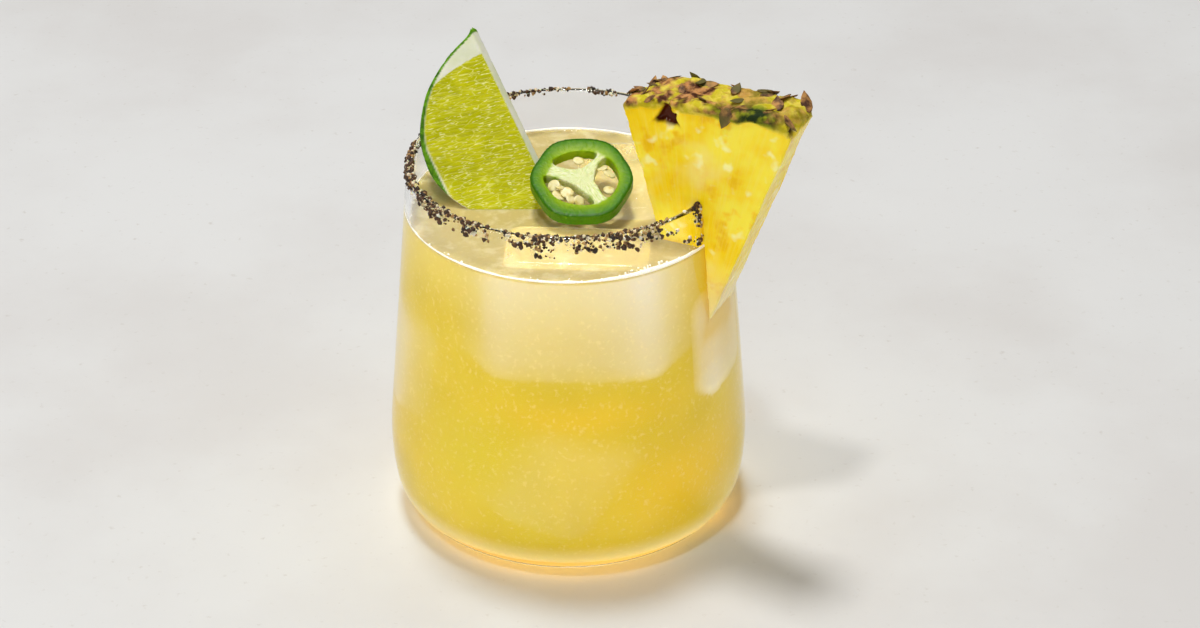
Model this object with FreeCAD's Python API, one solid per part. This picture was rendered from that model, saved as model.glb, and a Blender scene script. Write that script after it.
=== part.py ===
import FreeCAD, Part
import math
import os

from FreeCAD import Placement, Rotation, Vector

# A margarita served in a stemless tumbler, with a lime wedge, a jalapeno slice and a
# pineapple wedge on its rim. Millimetres, +Z up. The origin is the centre of the
# tumbler's flat base, on the table. The drink is looked at from -Y.

# Tumbler: flat base, small corner arc, one long belly arc, then a straight taper to the rim
glass_h = 95.0          # table to the top of the rim
rim_r = 38.9            # outer radius at the rim
belly_r = 45.0          # widest outer radius
belly_z = 20.0          # height of the widest point
belly_arc = 70.0        # outer radius of the belly's arc, seen from the side
corner_arc = 11.0       # outer radius of the arc between base and belly
wall = 1.6              # thickness of the blown wall
base_t = 5.0            # thickness of the foot
inner_corner = 9.0      # inside radius between floor and wall

# Drink
fill_drop = 11.7        # from the rim down to the drink's surface
level = glass_h - fill_drop

# Lime wedge: a sector of one lime, stood on end inside the rim
lime_r = 27.2           # radius of the whole fruit
lime_half = 28.0        # centre of the fruit to its tip
lime_angle = 60.0       # of the wedge, about the core
lime_trim = 2.8         # the white core is pared back by this much
lime_core = Vector(-0.428, 0.469, 0.772)     # along the core, towards the upper tip
lime_face = Vector(0.0, -0.855, 0.52)        # normal of the cut face that is turned to the front
lime_mid = Vector(-8.3, 3.3, level + 19.3)   # a point that the middle of the core slides through
lime_lean = Vector(-0.17, 0.94, -0.3)        # the way it slides until the rind meets the glass

# Jalapeno slice: a ring with three chambers, lying on the ice and tipped to the front
slice_r = 12.7          # mean radius
slice_t = 2.9           # thickness
slice_tip = 18.0        # degrees from level
slice_mid = Vector(3.5, -5.1, level + 9.55)  # middle of the upper face
slice_corners = 6       # the ring is a soft hexagon
slice_bulge = 0.026     # how far its corners stand out, as a share of its radius
slice_oval = 0.05       # how much longer it is than wide, as a share of its radius
chamber_in = 0.30       # the chambers' inner ends, as a share of the radius
chamber_out = 0.70      # their outer ends
chambers = ((1, 50), (104, 40), (-128, 59))  # middle and half width of each, in degrees

# Pineapple wedge: a radial cut of a round slice, slit and pushed down over the wall
pine_turn = -26.5       # degrees about Z of the upright plane it stands in
pine_r = 68.0           # outer radius of the whole slice
pine_t = 12.6           # thickness of the slice
pine_trim = 8.0         # the woody core that is cut off, measured from the slice's centre
pine_inner = 16.8       # degrees from upright of the side inside the glass
pine_outer = 19.8       # degrees from upright of the side outside the glass
pine_apex_out = -1.7    # slice's centre, outward from the outer rim radius
pine_apex_drop = 42.5   # slice's centre, below the rim
pine_round = 3.0        # rounding of the two corners at the rind

# Ice: two cubes that stand above the drink. Sizes are across, deep and high.
ice_round = 3.0
ice_front_size = Vector(35.0, 18.5, 34.0)
ice_front_low = 21.75   # its middle, below the middle of the slice's underside
ice_front_left = 1.1    # its middle, left of the slice's middle
ice_wall_gap = 0.2      # drink between it and the wall, at its nearest
ice_front_turn = -4.0   # degrees about Z
ice_front_tip = 5.0     # degrees about its long side, foot towards the wall
ice_rest_size = Vector(20.0, 23.0, 24.0)
ice_rest_across = 9.4   # middle of its top, sideways from the slice's middle
ice_rest_back = 4.6     # middle of its top, up the slope from the slice's middle

Z = Vector(0, 0, 1)


def polar(centre, radius, degrees):
    """Point at an angle from a centre, in the XZ plane."""
    a = math.radians(degrees)
    return centre + Vector(radius * math.cos(a), 0, radius * math.sin(a))


def arc(centre, radius, start, end):
    """Circular edge in the XZ plane between two angles."""
    points = [polar(centre, radius, a) for a in (start, (start + end) / 2, end)]
    return Part.Arc(*points).toShape()


def line(a, b):
    return Part.LineSegment(a, b).toShape()


def turned(edges):
    """Solid of revolution about Z from a closed chain of edges."""
    return Part.Face(Part.Wire(edges)).revolve(Vector(), Z, 360)


def bearing(centre, point):
    """Angle of a point seen from a centre, in the XZ plane."""
    d = point - centre
    return math.degrees(math.atan2(d.z, d.x))


# The belly's two skins share one centre, so the wall has one thickness all the way up
belly_c = Vector(belly_r - belly_arc, 0, belly_z)
rim_c = Vector(rim_r - wall / 2, 0, glass_h - wall / 2)
to_rim = rim_c - belly_c
taper = bearing(belly_c, rim_c) - math.degrees(math.acos((belly_arc - wall / 2) / to_rim.Length))


def skin(radius, corner, floor):
    """Edges from the axis along the floor and up to the end of the belly's arc, and that end."""
    reach = math.sqrt((radius - corner) ** 2 - (belly_z - floor - corner) ** 2)
    corner_c = Vector(belly_c.x + reach, 0, floor + corner)
    join = bearing(belly_c, corner_c)
    foot = Vector(corner_c.x, 0, floor)
    edges = [
        line(Vector(0, 0, floor), foot),
        arc(corner_c, corner, -90, join),
        arc(belly_c, radius, join, taper),
    ]
    return edges, polar(belly_c, radius, taper)


def make_glass():
    outer, outer_end = skin(belly_arc, corner_arc, 0)
    inner, inner_end = skin(belly_arc - wall, inner_corner, base_t)
    rim_out = polar(rim_c, wall / 2, taper)
    rim_in = polar(rim_c, wall / 2, taper + 180)
    rim = arc(rim_c, wall / 2, taper, taper + 180)
    up, down = line(outer_end, rim_out), line(rim_in, inner_end)
    axis = line(Vector(0, 0, base_t), Vector())
    return turned(outer + [up, rim, down] + inner[::-1] + [axis])


def make_fill(level):
    """Everything inside the tumbler up to a level: the drink before the garnish is cut out."""
    inner, inner_end = skin(belly_arc - wall, inner_corner, base_t)
    edge = inner_end + Vector(-math.tan(math.radians(taper)), 0, 1) * (level - inner_end.z)
    top = Vector(0, 0, level)
    return turned(inner + [line(inner_end, edge), line(edge, top), line(top, Vector(0, 0, base_t))])


def make_lime():
    """Sector of a pointed fruit, its core pared flat, slid outward until it leans on the glass."""
    outline = [
        (0.0, -1.0), (0.10, -0.985), (0.34, -0.87), (0.67, -0.62), (0.91, -0.32), (1.0, 0.0),
        (0.92, 0.34), (0.70, 0.63), (0.40, 0.82), (0.21, 0.89), (0.13, 0.935), (0.10, 0.975), (0.0, 1.0),
    ]
    rind = Part.BSplineCurve()
    rind.interpolate([Vector(lime_r * x, 0, lime_half * z) for x, z in outline])
    ends = [Vector(0, 0, lime_half * outline[i][1]) for i in (-1, 0)]
    half = Part.Face(Part.Wire([rind.toShape(), line(*ends)]))
    wedge = half.revolve(Vector(), Z, -lime_angle)
    pare = Part.makeBox(lime_trim + lime_r, 4 * lime_r, 4 * lime_half,
                        Vector(-lime_r, -2 * lime_r, -2 * lime_half))
    pare.rotate(Vector(), Z, -lime_angle / 2)
    wedge = wedge.cut(pare)
    side = lime_face.cross(lime_core)
    wedge.Placement = Placement(lime_mid, Rotation(side, lime_face, lime_core, "ZYX"))
    return wedge


def seat(shape, way, against, clearance=0.0):
    """Back a shape off, then slide it along a direction until it meets another, to a hundredth."""
    way = Vector(way).normalize()
    shape.translate(way * -rim_r / 4)
    for _ in range(60):
        gap = shape.distToShape(against)[0] - clearance
        if gap < 0.01:
            break
        shape.translate(way * gap)
    return shape


def loop(points):
    """Smooth closed face through points in the XY plane."""
    curve = Part.BSplineCurve()
    curve.interpolate(Points=points, PeriodicFlag=True)
    return Part.Face(Part.Wire(curve.toShape()))


def ring_point(share, degrees):
    a = math.radians(degrees)
    return Vector(math.cos(a), math.sin(a), 0) * (slice_r * share)


def make_slice():
    """Ring of pepper flesh: a soft hexagon with three chambers around its core."""
    rim = []
    for i in range(4 * slice_corners):
        a = i * 90 / slice_corners
        bulge = slice_bulge * math.cos(math.radians(slice_corners * a))
        rim.append(ring_point(1 + bulge - slice_oval * math.cos(math.radians(2 * a)), a))
    body = loop(rim).extrude(Z * -slice_t)
    for middle, half in chambers:
        inner = [ring_point(chamber_in, middle + half * k) for k in (-0.6, 0.6)]
        outer = [ring_point(chamber_out, middle + half * k) for k in (0.95, 0.4, -0.4, -0.95)]
        body = body.cut(loop(inner + outer).extrude(Z * -slice_t))
    body.Placement = Placement(slice_mid, Rotation(Vector(1, 0, 0), slice_tip))
    return body


def make_pineapple(glass):
    """Wedge drawn in the XZ plane with X outward, then turned about Z and slit by the wall."""
    apex = Vector(rim_r + pine_apex_out, 0, glass_h - pine_apex_drop)
    inner, outer = 90 + pine_inner, 90 - pine_outer
    tips = [polar(apex, pine_trim / math.cos(math.radians(d)), 90 + d) for d in (pine_inner, -pine_outer)]
    corners = [polar(apex, pine_r, a) for a in (inner, outer)]
    face = Part.Face(Part.Wire([
        line(tips[1], tips[0]), line(tips[0], corners[0]),
        arc(apex, pine_r, inner, outer), line(corners[1], tips[1]),
    ]))
    face.translate(Vector(0, -pine_t / 2, 0))
    wedge = face.extrude(Vector(0, pine_t, 0))
    upright = [e for e in wedge.Edges
               if any((e.CenterOfMass - Vector(c.x, 0, c.z)).Length < 0.1 for c in corners)]
    wedge = wedge.makeFillet(pine_round, upright)
    wedge.rotate(Vector(), Z, pine_turn)
    return wedge.cut(glass)


def cube(size):
    """Ice cube with melted edges, its middle at the origin."""
    block = Part.makeBox(size.x, size.y, size.z, size * -0.5)
    return block.makeFillet(ice_round, block.Edges)


def make_ice_front():
    block = cube(ice_front_size)
    tip = Rotation(Vector(1, 0, 0), ice_front_tip)
    middle = slice_mid - Vector(ice_front_left, ice_front_size.y, slice_t + ice_front_low)
    block.Placement = Placement(middle, Rotation(Z, ice_front_turn).multiply(tip))
    return block


def make_ice_rest():
    """The cube that carries the slice: its top lies in the plane of the slice's underside."""
    block = cube(ice_rest_size)
    drop = -slice_t - ice_rest_size.z / 2
    block.translate(Vector(ice_rest_across, ice_rest_back, drop))
    block.Placement = Placement(slice_mid, Rotation(Vector(1, 0, 0), slice_tip)).multiply(block.Placement)
    return block


glass = make_glass()
lime = seat(make_lime(), lime_lean, glass)
pepper = make_slice()
pineapple = make_pineapple(glass)
ice_front = seat(make_ice_front(), Vector(0, -1, 0), glass, ice_wall_gap)
ice_rest = make_ice_rest()
drink = make_fill(level).cut([lime, pepper, pineapple, ice_front, ice_rest])

nodes = {
    "glass": glass,
    "drink": drink,
    "lime_wedge": lime,
    "jalapeno_slice": pepper,
    "pineapple_wedge": pineapple,
    "ice_cube_front": ice_front,
    "ice_cube_under_slice": ice_rest,
}

os.makedirs("parts", exist_ok=True)
for name, shape in nodes.items():
    solid = shape.Solids[0] if len(shape.Solids) == 1 else shape
    box = solid.BoundBox
    print(f"{name:22s} solids {len(shape.Solids)} valid {solid.isValid()} volume {solid.Volume / 1000:8.2f} ml",
          f"x {box.XMin:.1f}..{box.XMax:.1f} y {box.YMin:.1f}..{box.YMax:.1f} z {box.ZMin:.1f}..{box.ZMax:.1f}")
    solid.exportStep(f"parts/{name}.step")
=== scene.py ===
# %% [markdown]
# # A margarita in a stemless tumbler
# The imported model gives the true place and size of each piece: the glass, the drink, the garnish
# and the two ice cubes that stand above the surface. This lesson gives each of them its finish.
# Everything is in metres, with +Z up and the front of the glass towards -Y.

# %% Load the frame
import math

import bmesh
import bpy
import numpy as np
from mathutils import Matrix, Vector


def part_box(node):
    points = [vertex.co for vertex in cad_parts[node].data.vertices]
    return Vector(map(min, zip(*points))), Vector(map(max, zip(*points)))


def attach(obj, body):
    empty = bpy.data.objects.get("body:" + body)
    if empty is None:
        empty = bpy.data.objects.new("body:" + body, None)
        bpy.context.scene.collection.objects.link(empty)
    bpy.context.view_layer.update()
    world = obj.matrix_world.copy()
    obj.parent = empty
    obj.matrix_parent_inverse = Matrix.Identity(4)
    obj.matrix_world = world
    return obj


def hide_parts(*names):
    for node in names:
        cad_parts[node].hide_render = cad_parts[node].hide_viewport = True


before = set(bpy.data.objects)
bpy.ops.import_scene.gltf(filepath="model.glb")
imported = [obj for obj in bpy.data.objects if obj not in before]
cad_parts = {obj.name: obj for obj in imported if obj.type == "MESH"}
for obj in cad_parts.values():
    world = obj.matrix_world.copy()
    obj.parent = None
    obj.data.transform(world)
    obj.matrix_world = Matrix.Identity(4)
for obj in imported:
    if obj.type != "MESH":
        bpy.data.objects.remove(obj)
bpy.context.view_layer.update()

MM = 0.001
scene = bpy.context.scene

# %% [markdown]
# ## Sizes
# A lathe-turned shape needs only its section. The heights and the widest radius are read from
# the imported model, and the arcs of the section are the tumbler's own design sizes.

# %% The tumbler's section sizes
belly_r, _, rim_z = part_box("glass")[1]
drink_low, drink_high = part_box("drink")
level = drink_high[2]
floor_z = drink_low[2]
rim_r = 38.9 * MM
wall = 1.6 * MM
belly_z = 20 * MM
belly_arc = 70 * MM
corner_arc = 11 * MM
inner_corner = 9 * MM
print("rim", rim_z, "level", round(level, 5), "belly", round(belly_r, 5))

# %% [markdown]
# ## Helpers for meshes
# Most pieces here are dense skins whose points carry numbers: how near they are to the rind, how
# deep under the surface, how pale. Doing that arithmetic with arrays keeps it short, and one
# smooth noise function serves every piece.


# %% Noise, smoothing and mesh helpers
def smooth(low, high, x):
    """0 below low, 1 above high, an S-curve between."""
    t = np.clip((x - low) / (high - low), 0, 1)
    return t * t * (3 - 2 * t)


def mix(a, b, t):
    return a + (b - a) * t


def lattice(cell, seed):
    """A fixed random number for each cell of a grid."""
    n = cell[..., 0] * 374761393 + cell[..., 1] * 668265263 + cell[..., 2] * 2147483647 + seed * 974634777
    n = (n ^ (n >> 13)) * 1274126177
    return ((n ^ (n >> 16)) & 0xFFFFFF) / float(0xFFFFFF)


def noise(points, size, seed=0, octaves=2):
    """Smooth noise from -1 to 1 with lumps of the given size."""
    total, weight = 0.0, 0.0
    for octave in range(octaves):
        p = np.asarray(points) / size * 2**octave
        base = np.floor(p).astype(np.int64)
        f = p - base
        f = f * f * (3 - 2 * f)
        value = 0.0
        for corner in range(8):
            bit = np.array([corner & 1, corner >> 1 & 1, corner >> 2 & 1])
            value = value + lattice(base + bit, seed + octave) * np.prod(np.where(bit, f, 1 - f), axis=-1)
        total = total + (2 * value - 1) / 2**octave
        weight += 1 / 2**octave
    return total / weight


def piece(name, mesh, material=None, body="root"):
    """Links a finished mesh as an object that rides on the model's one body."""
    obj = bpy.data.objects.new(name, mesh)
    scene.collection.objects.link(obj)
    if material:
        mesh.materials.clear()
        mesh.materials.append(material)
    mesh.shade_smooth()
    if body:
        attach(obj, body)
    return obj


def mesh_from(name, points, faces):
    mesh = bpy.data.meshes.new(name)
    mesh.from_pydata([tuple(p) for p in points], [], faces)
    mesh.validate()
    mesh.update()
    return mesh


def points_of(mesh):
    flat = np.empty(len(mesh.vertices) * 3, np.float32)
    mesh.vertices.foreach_get("co", flat)
    return flat.reshape(-1, 3).astype(float)


def normals_of(mesh):
    flat = np.empty(len(mesh.vertices) * 3, np.float32)
    mesh.vertex_normals.foreach_get("vector", flat)
    return flat.reshape(-1, 3).astype(float)


def move_points(mesh, points):
    mesh.vertices.foreach_set("co", np.asarray(points, np.float32).ravel())
    mesh.update()


def store(mesh, name, values):
    """Keeps one number or one vector for each point, for a material to read."""
    values = np.asarray(values, np.float32)
    kind = "FLOAT" if values.ndim == 1 else "FLOAT_VECTOR"
    layer = mesh.attributes.new(name, kind, "POINT")
    layer.data.foreach_set("value" if values.ndim == 1 else "vector", values.ravel())


def baked(obj, name):
    """The plain mesh that an object's modifiers make. The object itself is removed."""
    graph = bpy.context.evaluated_depsgraph_get()
    mesh = bpy.data.meshes.new_from_object(obj.evaluated_get(graph))
    mesh.name = name
    bpy.data.objects.remove(obj)
    return mesh


def built(name, build):
    """A mesh made by bmesh operations."""
    work = bmesh.new()
    build(work)
    mesh = bpy.data.meshes.new(name)
    work.to_mesh(mesh)
    work.free()
    return mesh


def skin_of(node, voxel, name, smoothing=0):
    """A fine, even skin grown from a CAD node, ready for relief."""
    def welded(work):
        work.from_mesh(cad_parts[node].data)
        bmesh.ops.remove_doubles(work, verts=work.verts, dist=1e-6)
    mesh = built(name, welded)
    obj = bpy.data.objects.new(name, mesh)
    scene.collection.objects.link(obj)
    remesh = obj.modifiers.new("skin", "REMESH")
    remesh.mode = "VOXEL"
    remesh.voxel_size = voxel
    if smoothing:
        relax = obj.modifiers.new("relax", "SMOOTH")
        relax.factor = 0.5
        relax.iterations = smoothing
    return baked(obj, name)


def lathe(name, section, steps):
    """Turns an (x, z) section that starts and ends on the axis into a closed mesh."""
    ring = np.linspace(0, 2 * math.pi, steps, endpoint=False)
    rows = [np.stack([x * np.cos(ring), x * np.sin(ring), np.full(steps, z)], -1) for x, z in section[1:-1]]
    points = np.concatenate(rows + [[[0, 0, section[0][1]]], [[0, 0, section[-1][1]]]])
    faces = []
    count = len(rows)
    for row in range(count - 1):
        for i in range(steps):
            j = (i + 1) % steps
            faces.append((row * steps + i, row * steps + j, (row + 1) * steps + j, (row + 1) * steps + i))
    first, last = count * steps, count * steps + 1
    for i in range(steps):
        j = (i + 1) % steps
        faces.append((first, j, i))
        faces.append((last, (count - 1) * steps + i, (count - 1) * steps + j))
    return mesh_from(name, points, faces)


# %% [markdown]
# ## Helpers for materials
# A small builder keeps node trees readable: one call adds a node, sets its inputs and links it.
# Colours are written as screen values, as a painter would mix them, and turned into light values.


# %% Shader helpers
def rgb(r, g, b):
    """Screen colour 0-255 to a linear colour."""
    def linear(c):
        c /= 255
        return c / 12.92 if c <= 0.04045 else ((c + 0.055) / 1.055) ** 2.4
    return (linear(r), linear(g), linear(b), 1.0)


BLACK = rgb(0, 0, 0)


class Nodes:
    """Adds nodes to a tree, with sockets given by name and linked or set in one call."""

    def __init__(self, tree):
        self.tree = tree

    def add(self, kind, inputs=None, **settings):
        node = self.tree.nodes.new(kind)
        for key, value in settings.items():
            setattr(node, key, value)
        for key, value in (inputs or {}).items():
            socket = node.inputs[key]
            if isinstance(value, bpy.types.NodeSocket):
                self.tree.links.new(value, socket)
            else:
                socket.default_value = value
        return node

    def attribute(self, name, vector=False):
        node = self.add("ShaderNodeAttribute", attribute_name=name)
        return node.outputs["Vector" if vector else "Fac"]

    def math(self, operation, a, b=0.5, clamp=False):
        return self.add("ShaderNodeMath", {0: a, 1: b}, operation=operation, use_clamp=clamp).outputs[0]

    def ramp(self, value, low, high, to_low=0.0, to_high=1.0):
        node = self.add("ShaderNodeMapRange", {0: value, 1: low, 2: high, 3: to_low, 4: to_high})
        node.interpolation_type = "SMOOTHSTEP"
        return node.outputs[0]

    def blend(self, factor, a, b):
        return self.add("ShaderNodeMix", {0: factor, 6: a, 7: b}, data_type="RGBA").outputs[2]

    def noise(self, scale, vector, detail=3.0, rough=0.55):
        node = self.add("ShaderNodeTexNoise", {"Scale": scale, "Detail": detail, "Roughness": rough,
                                               "Vector": vector})
        return node.outputs[0]

    def cells(self, scale, vector, feature="F1"):
        node = self.add("ShaderNodeTexVoronoi", {"Scale": scale, "Vector": vector}, feature=feature)
        return node.outputs["Distance"]

    def place(self):
        return self.add("ShaderNodeTexCoord").outputs["Object"]

    def bump(self, height, strength, distance):
        return self.add("ShaderNodeBump", {"Height": height, "Strength": strength,
                                           "Distance": distance}).outputs[0]


def new_material(name, subsurface=(), **principled):
    """A material with its Principled shader, whose constant sockets are set here.

    The subsurface light is given as its weight, its reach in red, green and blue, and their scale."""
    material = bpy.data.materials.new(name)
    material.use_nodes = True
    shader = material.node_tree.nodes["Principled BSDF"]
    principled.update(zip(("Subsurface_Weight", "Subsurface_Radius", "Subsurface_Scale"), subsurface))
    for key, value in principled.items():
        shader.inputs[key.replace("_", " ")].default_value = value
    return material, Nodes(material.node_tree), shader


def feed(nodes, shader, **sockets):
    for key, value in sockets.items():
        nodes.tree.links.new(value, shader.inputs[key.replace("_", " ")])


# %% [markdown]
# Two effects turn up in almost every finish here: a mottle of two colours, and the thin walls between
# cells, as in juice sacs, foam and pulp. Each is built once as a node group with named sockets, and
# each material places it with its own scale and colours.


# %% Shared effects: mottle and cell walls
def new_group(name, inputs, outputs, tree_type="ShaderNodeTree"):
    tree = bpy.data.node_groups.new(name, tree_type)
    for way, sockets in (("INPUT", inputs), ("OUTPUT", outputs)):
        for label, kind in sockets:
            tree.interface.new_socket(label, in_out=way, socket_type="NodeSocket" + kind)
    n = Nodes(tree)
    return tree, n, n.add("NodeGroupInput").outputs


def mottle_tree():
    """Noise patches, as a mask and as two blended colours."""
    tree, n, given = new_group(
        "mottle",
        (("Place", "Vector"), ("Scale", "Float"), ("Detail", "Float"), ("Low", "Float"), ("High", "Float"),
         ("First", "Color"), ("Second", "Color")),
        (("Colour", "Color"), ("Mask", "Float")))
    patches = n.noise(given["Scale"], given["Place"], detail=given["Detail"])
    mask = n.ramp(patches, given["Low"], given["High"])
    n.add("NodeGroupOutput", {"Colour": n.blend(mask, given["First"], given["Second"]), "Mask": mask})
    return tree


def cell_tree():
    """Walls between cells as a mask, and the cells' own swelling as a height."""
    tree, n, given = new_group("cell_walls", (("Place", "Vector"), ("Scale", "Float"), ("Wall", "Float")),
                               (("Walls", "Float"), ("Swell", "Float")))
    gap = n.cells(given["Scale"], given["Place"], feature="DISTANCE_TO_EDGE")
    walls = n.ramp(gap, given["Wall"], 0.0)
    n.add("NodeGroupOutput", {"Walls": walls, "Swell": n.ramp(gap, 0.0, 0.4)})
    return tree


mottle_group = mottle_tree()
cell_group = cell_tree()


def mottle(n, place, scale, low, high, first, second, detail=3.0):
    return n.add("ShaderNodeGroup", {"Place": place, "Scale": scale, "Detail": detail, "Low": low,
                                     "High": high, "First": first, "Second": second},
                 node_tree=mottle_group).outputs


def mask(n, place, scale, low, high, detail=3.0):
    """The patches of a mottle alone, for a finish that blends its own colours."""
    return mottle(n, place, scale, low, high, BLACK, BLACK, detail)["Mask"]


def cell_walls(n, place, scale, wall_width):
    return n.add("ShaderNodeGroup", {"Place": place, "Scale": scale, "Wall": wall_width},
                 node_tree=cell_group).outputs


print("shared effects:", mottle_group.name, cell_group.name)

# %% [markdown]
# ## The table, the light and the camera
# A plain pale table, and four lamps: a small one high in front on the left sets the wet pulp
# glinting, a stronger one nearly overhead and a little behind throws the short soft shadow, a low
# broad one lights the front, and a narrow strip stands on the left. The sky is dim, but it is
# brighter when it is seen through a clear piece, so that the rim of the glass reads light.

# %% Stage, camera and lamps
def flat_square(name, half, z):
    return mesh_from(name, [(-half, -half, z), (half, -half, z), (half, half, z), (-half, half, z)],
                     [(0, 1, 2, 3)])


table_paint, n, shader = new_material("pale_table", Roughness=0.75)
spot = n.place()
tone = mottle(n, spot, 9.0, 0.38, 0.68, rgb(222, 222, 221), rgb(214, 212, 210), detail=6.0)["Colour"]
fine = mask(n, spot, 420.0, 0.62, 0.82)
feed(n, shader, Base_Color=n.blend(fine, tone, rgb(205, 202, 198)))
table_z = -0.1 * MM


def aimed(place, aim):
    """Stands at one place and faces another, as the camera and the lamps do."""
    place, aim = Vector(place), Vector(aim)
    return Matrix.Translation(place) @ (aim - place).to_track_quat("-Z", "Y").to_matrix().to_4x4()


table = piece("table", flat_square("table", 3.0, table_z), table_paint, body=None)

camera_data = bpy.data.cameras.new("camera")
focal_share = 2998 / 1200
camera_data.sensor_width = 36
camera_data.lens = 36 * focal_share
camera_data.clip_start = 0.01
camera = bpy.data.objects.new("camera", camera_data)
scene.collection.objects.link(camera)
eye_distance = 750 * MM
eye_lift = math.radians(31.3)
eye_aim = Vector((8, 1.69, 50.28)) * MM
eye = Vector((0, -eye_distance * math.cos(eye_lift), 47.5 * MM + eye_distance * math.sin(eye_lift)))
camera.matrix_world = aimed(eye, eye_aim)
scene.camera = camera


def lamp(name, place, aim, size, watts, colour, length=None):
    """A soft round lamp, or a tall strip where a length is given."""
    data = bpy.data.lights.new(name, "AREA")
    data.shape = "RECTANGLE" if length else "DISK"
    data.size = size
    if length:
        data.size_y = length
    data.energy = watts
    data.color = colour
    obj = bpy.data.objects.new(name, data)
    obj.matrix_world = aimed(place, aim)
    scene.collection.objects.link(obj)


lamp("sun", (-0.27, -0.52, 1.80), (0, 0, 0.05), 0.14, 8.0, (1.0, 0.985, 0.955))
lamp("overhead", (-0.09, 0.25, 1.70), (0, 0, 0.05), 0.26, 18.0, (1.0, 0.995, 0.985))
lamp("front", (-0.35, -1.75, 0.16), (0, 0, 0.06), 1.1, 11.0, (1.0, 0.99, 0.975))
lamp("strip", (-0.95, -0.75, 0.55), (0, 0, 0.08), 0.05, 1.1, (1.0, 1.0, 1.0), length=0.9)
world = bpy.data.worlds.new("studio")
world.use_nodes = True
world.node_tree.nodes["Background"].inputs["Color"].default_value = (0.985, 0.99, 1.0, 1)
n = Nodes(world.node_tree)
through = n.add("ShaderNodeLightPath").outputs["Is Transmission Ray"]
n.tree.links.new(n.ramp(through, 0.0, 1.0, 0.18, 0.9), n.tree.nodes["Background"].inputs["Strength"])
scene.world = world
scene.view_settings.view_transform = "Standard"
print("camera at", [round(v, 3) for v in eye])

# %% [markdown]
# ## The tumbler
# The real glass is blown in a mould: a flat foot, a tight corner, one long belly arc and a straight
# taper up to a fire-polished rim. Two skins that share the belly's centre make a wall of even
# thickness. It could be kept as the CAD solid, but its facets would show in the reflections, so
# the same section is turned again with many more steps.


# %% Section of the tumbler
def arc_points(centre, radius, start, end, count):
    angles = np.linspace(start, end, count)
    return [(centre[0] + radius * math.cos(a), centre[1] + radius * math.sin(a)) for a in angles]


belly_c = (belly_r - belly_arc, belly_z)
rim_c = (rim_r - wall / 2, rim_z - wall / 2)
to_rim = (rim_c[0] - belly_c[0], rim_c[1] - belly_c[1])
taper = math.atan2(to_rim[1], to_rim[0]) - math.acos((belly_arc - wall / 2) / math.hypot(*to_rim))


def skin_section(inset, corner, floor):
    """Foot, corner arc and belly arc of one skin, from the axis outward and up."""
    radius = belly_arc - inset
    reach = math.sqrt((radius - corner) ** 2 - (belly_z - floor - corner) ** 2)
    corner_c = (belly_c[0] + reach, floor + corner)
    join = math.atan2(corner_c[1] - belly_c[1], corner_c[0] - belly_c[0])
    foot = [(corner_c[0] * k / 12, floor) for k in range(12)]
    bend = arc_points(corner_c, corner, -math.pi / 2, join, 15)
    side = arc_points(belly_c, radius, join, taper, 22)
    return foot + bend + side[1:]


def wall_radius(inset, z):
    """Radius of a skin on the straight taper, or on the belly arc below it."""
    z = np.asarray(z, float)
    radius = belly_arc - inset
    end = belly_c[1] + radius * math.sin(taper)
    straight = belly_c[0] + radius * math.cos(taper) - (z - end) * math.tan(taper)
    bend = belly_c[0] + np.sqrt(np.maximum(radius**2 - (z - belly_z) ** 2, 0))
    return np.where(z > end, straight, bend)


outer = skin_section(0, corner_arc, 0)
inner = skin_section(wall, inner_corner, floor_z)
rim = arc_points(rim_c, wall / 2, taper, taper + math.pi, 15)
rise = [(float(wall_radius(0, z)), z) for z in np.linspace(outer[-1][1], rim[0][1], 30)[1:-1]]
drop = [(float(wall_radius(wall, z)), z) for z in np.linspace(rim[-1][1], inner[-1][1], 30)[1:-1]]
glass_section = outer + rise + rim + drop + inner[::-1]
print("taper", round(math.degrees(taper), 2), "degrees; section points", len(glass_section))

# %% [markdown]
# Clear glass is the plain Principled shader with full transmission. Lamps and daylight also have to
# reach the drink through it, and tracing that light as true caustics is slow and noisy, so shadow
# rays simply pass. The flat underside has a warm finish of its own, which stands for the light that
# the drink gathers under its foot.

# %% Glass material and piece
def tint_shadow(n, shader, colour):
    """Lets shadow rays through a piece, tinted, while every other ray sees its real finish."""
    passing = n.add("ShaderNodeBsdfTransparent", {"Color": colour})
    path = n.add("ShaderNodeLightPath")
    both = n.add("ShaderNodeMixShader", {0: path.outputs["Is Shadow Ray"], 1: shader.outputs[0],
                                         2: passing.outputs[0]})
    n.tree.links.new(both.outputs[0], n.tree.nodes["Material Output"].inputs["Surface"])


def clear_material(name, colour, roughness, ior):
    material, n, shader = new_material(name, Roughness=roughness, IOR=ior, Base_Color=colour,
                                       Transmission_Weight=1.0)
    tint_shadow(n, shader, (0.96, 0.97, 0.97, 1))
    return material


glass_clear = clear_material("clear_glass", (1.0, 1.0, 1.0, 1), 0.0, 1.47)
tumbler = piece("tumbler", lathe("tumbler", glass_section, 192), glass_clear)
foot_tone = rgb(240, 216, 130)
foot_lit, n, shader = new_material("foot_lit", Roughness=0.5, Base_Color=foot_tone,
                                   Emission_Color=foot_tone, Emission_Strength=0.12)
tint_shadow(n, shader, (0.96, 0.93, 0.75, 1))
tumbler.data.materials.append(foot_lit)
for face in tumbler.data.polygons:
    face.material_index = int(face.center.z < 0.05 * MM)
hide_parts("glass")
print("tumbler faces", len(tumbler.data.polygons))

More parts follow.
